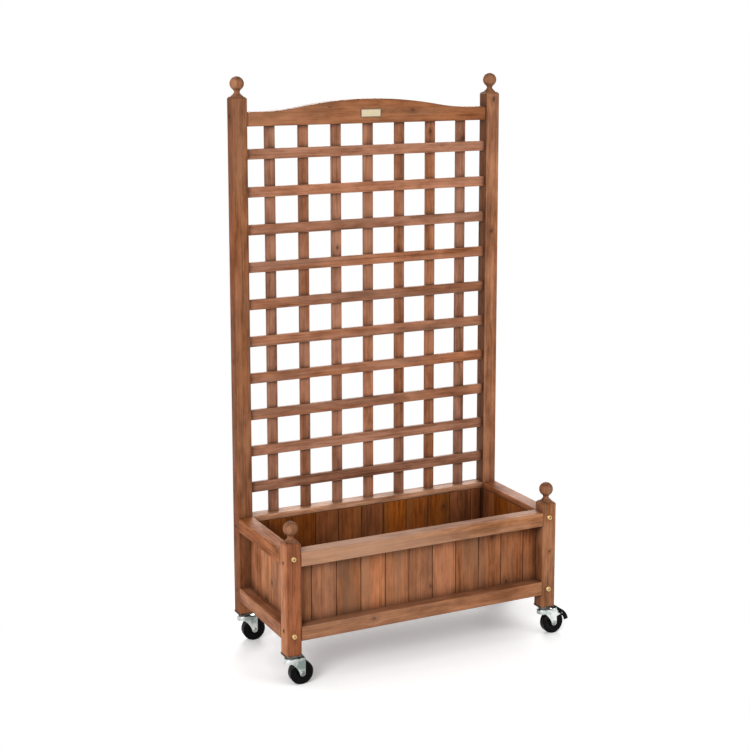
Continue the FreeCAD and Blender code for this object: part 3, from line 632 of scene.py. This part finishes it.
# Edges sharper than this many degrees stay crisp.
CRISP_ANGLE = 38
TONGUE_HALF_WIDTH = 0.0008
# How far a tongue stays behind its boards' faces, and below and above their ends.
TONGUE_SETBACK = 0.0035
TONGUE_TRIM = 0.002


def lathe(mesh, profile, x, y, z):
    """Turn a profile of (radius, height) round an upright axis, closed by a disc below and a tip above."""
    rings = []
    for radius, height in profile:
        ring = []
        for step in range(TURNING_STEPS):
            turn = 2 * math.pi * step / TURNING_STEPS
            ring.append(mesh.verts.new((x + radius * math.cos(turn), y + radius * math.sin(turn), z + height)))
        rings.append(ring)
    for lower, upper in zip(rings, rings[1:]):
        for step in range(TURNING_STEPS):
            after = (step + 1) % TURNING_STEPS
            mesh.faces.new((lower[step], lower[after], upper[after], upper[step])).smooth = True
    mesh.faces.new(tuple(reversed(rings[0])))
    tip = mesh.verts.new((x, y, z + BALL_CENTRE + BALL_RADIUS))
    for step in range(TURNING_STEPS):
        mesh.faces.new((rings[-1][step], rings[-1][(step + 1) % TURNING_STEPS], tip)).smooth = True


def square_top(mesh, low, high, material_index):
    """The post's end with its rounded corners, bevelled up to the finial's seat."""
    middle = (low + high) / 2
    count = 4 * (ROUND_STEPS + 1)
    rings = []
    for past, height in TOP_RINGS:
        ring = []
        for quarter in range(4):
            for step in range(ROUND_STEPS + 1):
                turn = math.pi / 2 * (quarter + step / ROUND_STEPS)
                side_x, side_y = ((1, 1), (-1, 1), (-1, -1), (1, -1))[quarter]
                x = side_x * ((high.x - low.x) / 2 - POST_ROUND + past) + POST_ROUND * math.cos(turn)
                y = side_y * ((high.y - low.y) / 2 - POST_ROUND + past) + POST_ROUND * math.sin(turn)
                ring.append(mesh.verts.new((middle.x + x, middle.y + y, high.z + height)))
        rings.append(ring)
    faces = []
    for lower, upper in zip(rings, rings[1:]):
        for step in range(count):
            after = (step + 1) % count
            faces.append(mesh.faces.new((lower[step], lower[after], upper[after], upper[step])))
            faces[-1].smooth = True
    faces += [mesh.faces.new(tuple(reversed(rings[0]))), mesh.faces.new(tuple(rings[-1]))]
    for face in faces:
        face.material_index = material_index


def new_piece(name, mesh, materials):
    """A piece of the scene alone, which rides on the planter."""
    data = bpy.data.meshes.new(name)
    mesh.to_mesh(data)
    mesh.free()
    data.set_sharp_from_angle(angle=math.radians(CRISP_ANGLE))
    for material in materials:
        data.materials.append(material)
    piece = bpy.data.objects.new(name, data)
    bpy.context.scene.collection.objects.link(piece)
    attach(piece, "planter")
    return piece


def post_tops():
    """Finials with the real ones' slim neck and wide bell, on post ends that stand as high as the real ones."""
    turned, squared = bmesh.new(), bmesh.new()
    start = math.asin(BELL[-1][0] / BALL_RADIUS)
    angles = [start + (math.pi - start) * step / BALL_STEPS for step in range(1, BALL_STEPS)]
    ball = [(BALL_RADIUS * math.sin(angle), BALL_CENTRE - BALL_RADIUS * math.cos(angle)) for angle in angles]
    for number, corner in enumerate(POST_WOODS):
        low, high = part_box("post_" + corner)
        square_top(squared, low, high, number)
        lathe(turned, BELL + tuple(ball), (low.x + high.x) / 2, (low.y + high.y) / 2, high.z)
    turned_wood = wood("turned wood", "Z", 0.45, stain=STAINS["turned_finials"], tone_spread=0.1, weathering=0.15,
                       streaks=0.4)
    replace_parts(new_piece("turned_finials", turned, [turned_wood]), "ball_finials")
    new_piece("post_tops", squared, POST_WOODS.values())


post_tops()


def board_tongues():
    """Tongues between the boards, so that their joints are dark lines and no daylight shows through; their darker
    stain paints the shade in the joints.
    """
    mesh = bmesh.new()
    front_joints = [FIRST_BOARD_JOINT + number * BOARD_PITCH for number in range(FULL_BOARDS + 1)]
    side_joints = [-SIDE_BOARD_PITCH, 0.0, SIDE_BOARD_PITCH]
    for node, along, joints in (("front_boards", 0, front_joints), ("rear_boards", 0, front_joints),
                                ("left_boards", 1, side_joints), ("right_boards", 1, side_joints)):
        box_low, box_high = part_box(node)
        for joint in joints:
            low, high = list(box_low), list(box_high)
            low[along], high[along] = joint - TONGUE_HALF_WIDTH, joint + TONGUE_HALF_WIDTH
            low[1 - along] += TONGUE_SETBACK
            high[1 - along] -= TONGUE_SETBACK
            corners = [(x, y, z) for z in (low[2] + TONGUE_TRIM, high[2] - TONGUE_TRIM)
                       for x, y in ((low[0], low[1]), (high[0], low[1]), (high[0], high[1]), (low[0], high[1]))]
            verts = [mesh.verts.new(corner) for corner in corners]
            mesh.faces.new((verts[3], verts[2], verts[1], verts[0]))
            mesh.faces.new(verts[4:])
            for step in range(4):
                after = (step + 1) % 4
                mesh.faces.new((verts[step], verts[after], verts[4 + after], verts[4 + step]))
    tongue_wood = wood("tongue wood", "Z", 0.3, stain=STAINS["board_tongues"])
    new_piece("board_tongues", mesh, [tongue_wood])


board_tongues()

# ---------------------------------------------------------------- dressing the metal and plastic
bright_zinc = zinc("bright zinc", (0.22, 0.27, 0.25), (0.75, 0.79, 0.77), 0.24)
# Darker copies of the zinc: painted shade of the axle heads, and of the plates and screws under the posts.
shaded_axle_zinc = zinc("axle zinc in painted shade", (0.16, 0.18, 0.17), (0.4, 0.42, 0.4), 0.35)
shaded_zinc = zinc("zinc in painted shade", (0.02, 0.018, 0.014), (0.13, 0.12, 0.1), 0.4)
black_wheel = moulded("black wheel", 0.0015, 0.3, 0.07)
black_pedal = moulded("black pedal", 0.002, 0.35, 0.07)
dress("name_plate", enamel("cream enamel"))
dress("connector_screws", brass("brass"))
dress("frame_screws", dark_steel("dark steel"))
dress("caster_screws", shaded_zinc)
for corner in CORNERS:
    dress(f"caster_{corner}_plate", shaded_zinc)
    dress(f"caster_{corner}_fork", bright_zinc)
    dress(f"caster_{corner}_axle", shaded_axle_zinc)
    dress(f"caster_{corner}_wheel", black_wheel)
    if corner.endswith("right"):
        dress(f"caster_{corner}_brake_pedal", black_pedal)


# ---------------------------------------------------------------- floor, light and camera
WORLD_LIGHT = 0.27
FLOOR_GLOW = 0.53
FLOOR_HALF = 30.0
# Half of the planter's footprint, and how far from it the floor turns from shaded to plain white.
FOOTPRINT_HALF = (0.3, 0.13, 0.0)
FADE_START, FADE_END = 0.02, 0.55
# Each lamp's name, place, height of its aim, and power. All are squares of the same side.
LAMPS = (
    ("key_light", (-3.4, -2.8, 2.5), 0.45, 165.0),
    ("fill_light", (2.6, -3.4, 1.9), 0.45, 52.0),
    ("back_light", (1.6, 3.6, 2.2), 0.6, 125.0),
)
LAMP_SIDE = 2.2
# The camera solved from the photo: it looks from the front left, a little down. Angles are in degrees.
SENSOR_WIDTH = 36.0
FOCAL_LENGTH = 74.287
LENS_SHIFT = (-0.02735, -0.1362)
AZIMUTH, ELEVATION, ROLL = 26.926, 8.912, 0.067
AIM_HEIGHT = 0.806192
CAMERA_DISTANCE = 3.27683


def floor_material():
    """Pale floor. The camera and gloss see it white but for the shaded place round the planter, where the lit
    floor's own shadow is deepened by painted shadow.
    """
    material, tree, shader, coordinates = new_material("pale floor")
    fill(tree, shader, {"Base Color": grey(0.8), "Roughness": 0.9})
    lit = place(tree, "BsdfDiffuse", {"Color": grey(0.85)}).outputs[0]
    # Painted shadow: the glow dims where ambient occlusion finds the planter close above or beside the floor.
    open_share = place(tree, "AmbientOcclusion", {"Distance": 0.35}, samples=8).outputs["AO"]
    strength = spread(tree, open_share, 0.15, 0.9, 0.25 * FLOOR_GLOW, FLOOR_GLOW)
    glow = place(tree, "Emission", {"Color": grey(1.0), "Strength": strength}).outputs[0]
    near = place(tree, "AddShader", {0: lit, 1: glow}).outputs[0]
    white = place(tree, "Emission", {"Color": grey(1.0), "Strength": 1.0}).outputs[0]
    from_middle = vector_node(tree, "SUBTRACT", coordinates, (MIDDLE_X, 0.0, 0.0))
    past_edge = vector_node(tree, "SUBTRACT", vector_node(tree, "ABSOLUTE", from_middle), FOOTPRINT_HALF)
    outside = vector_node(tree, "MAXIMUM", past_edge)
    fade = spread(tree, vector_node(tree, "LENGTH", outside), FADE_START, FADE_END)
    seen = place(tree, "MixShader", {0: fade, 1: near, 2: white}).outputs[0]
    mixed = place(tree, "MixShader", {0: seen_directly(tree), 1: shader.outputs[0], 2: seen}).outputs[0]
    tree.links.new(mixed, tree.nodes["Material Output"].inputs["Surface"])
    return material


def studio_floor():
    mesh = bpy.data.meshes.new("studio_floor")
    corners = [(x * FLOOR_HALF, y * FLOOR_HALF, 0) for x, y in ((-1, -1), (1, -1), (1, 1), (-1, 1))]
    mesh.from_pydata(corners, [], [(0, 1, 2, 3)])
    floor = bpy.data.objects.new("studio_floor", mesh)
    bpy.context.scene.collection.objects.link(floor)
    mesh.materials.append(floor_material())


def studio_world():
    """Surroundings that the camera sees white, but that light the object more softly."""
    world = bpy.data.worlds.new("studio")
    bpy.context.scene.world = world
    world.use_nodes = True
    tree = world.node_tree
    strength = spread(tree, seen_directly(tree), 0.0, 1.0, WORLD_LIGHT, 1.0)
    fill(tree, tree.nodes["Background"], {"Color": grey(1.0), "Strength": strength})


def softbox(name, lamp_place, aim_height, power):
    lamp = bpy.data.lights.new(name, "AREA")
    lamp.shape = "RECTANGLE"
    lamp.size = lamp.size_y = LAMP_SIDE
    lamp.energy = power
    holder = bpy.data.objects.new(name, lamp)
    bpy.context.scene.collection.objects.link(holder)
    holder.location = lamp_place
    aim = Vector((0.0, 0.0, aim_height)) - Vector(lamp_place)
    holder.rotation_euler = aim.to_track_quat("-Z", "Y").to_euler()


def photo_camera():
    camera = bpy.data.cameras.new("camera")
    camera.sensor_width = SENSOR_WIDTH
    camera.lens = FOCAL_LENGTH
    camera.shift_x, camera.shift_y = LENS_SHIFT
    camera.clip_end = 100.0
    holder = bpy.data.objects.new("camera", camera)
    bpy.context.scene.collection.objects.link(holder)
    azimuth, elevation = math.radians(AZIMUTH), math.radians(ELEVATION)
    level = math.cos(elevation)
    forward = Vector((math.sin(azimuth) * level, math.cos(azimuth) * level, -math.sin(elevation)))
    holder.location = Vector((MIDDLE_X, 0.0, AIM_HEIGHT + POST_RISE)) - forward * CAMERA_DISTANCE
    turn = forward.to_track_quat("-Z", "Y").to_matrix() @ Matrix.Rotation(math.radians(ROLL), 3, "Z")
    holder.rotation_euler = turn.to_euler()
    bpy.context.scene.camera = holder


studio_floor()
studio_world()
for lamp_values in LAMPS:
    softbox(*lamp_values)
photo_camera()
bpy.context.scene.view_settings.view_transform = "Standard"
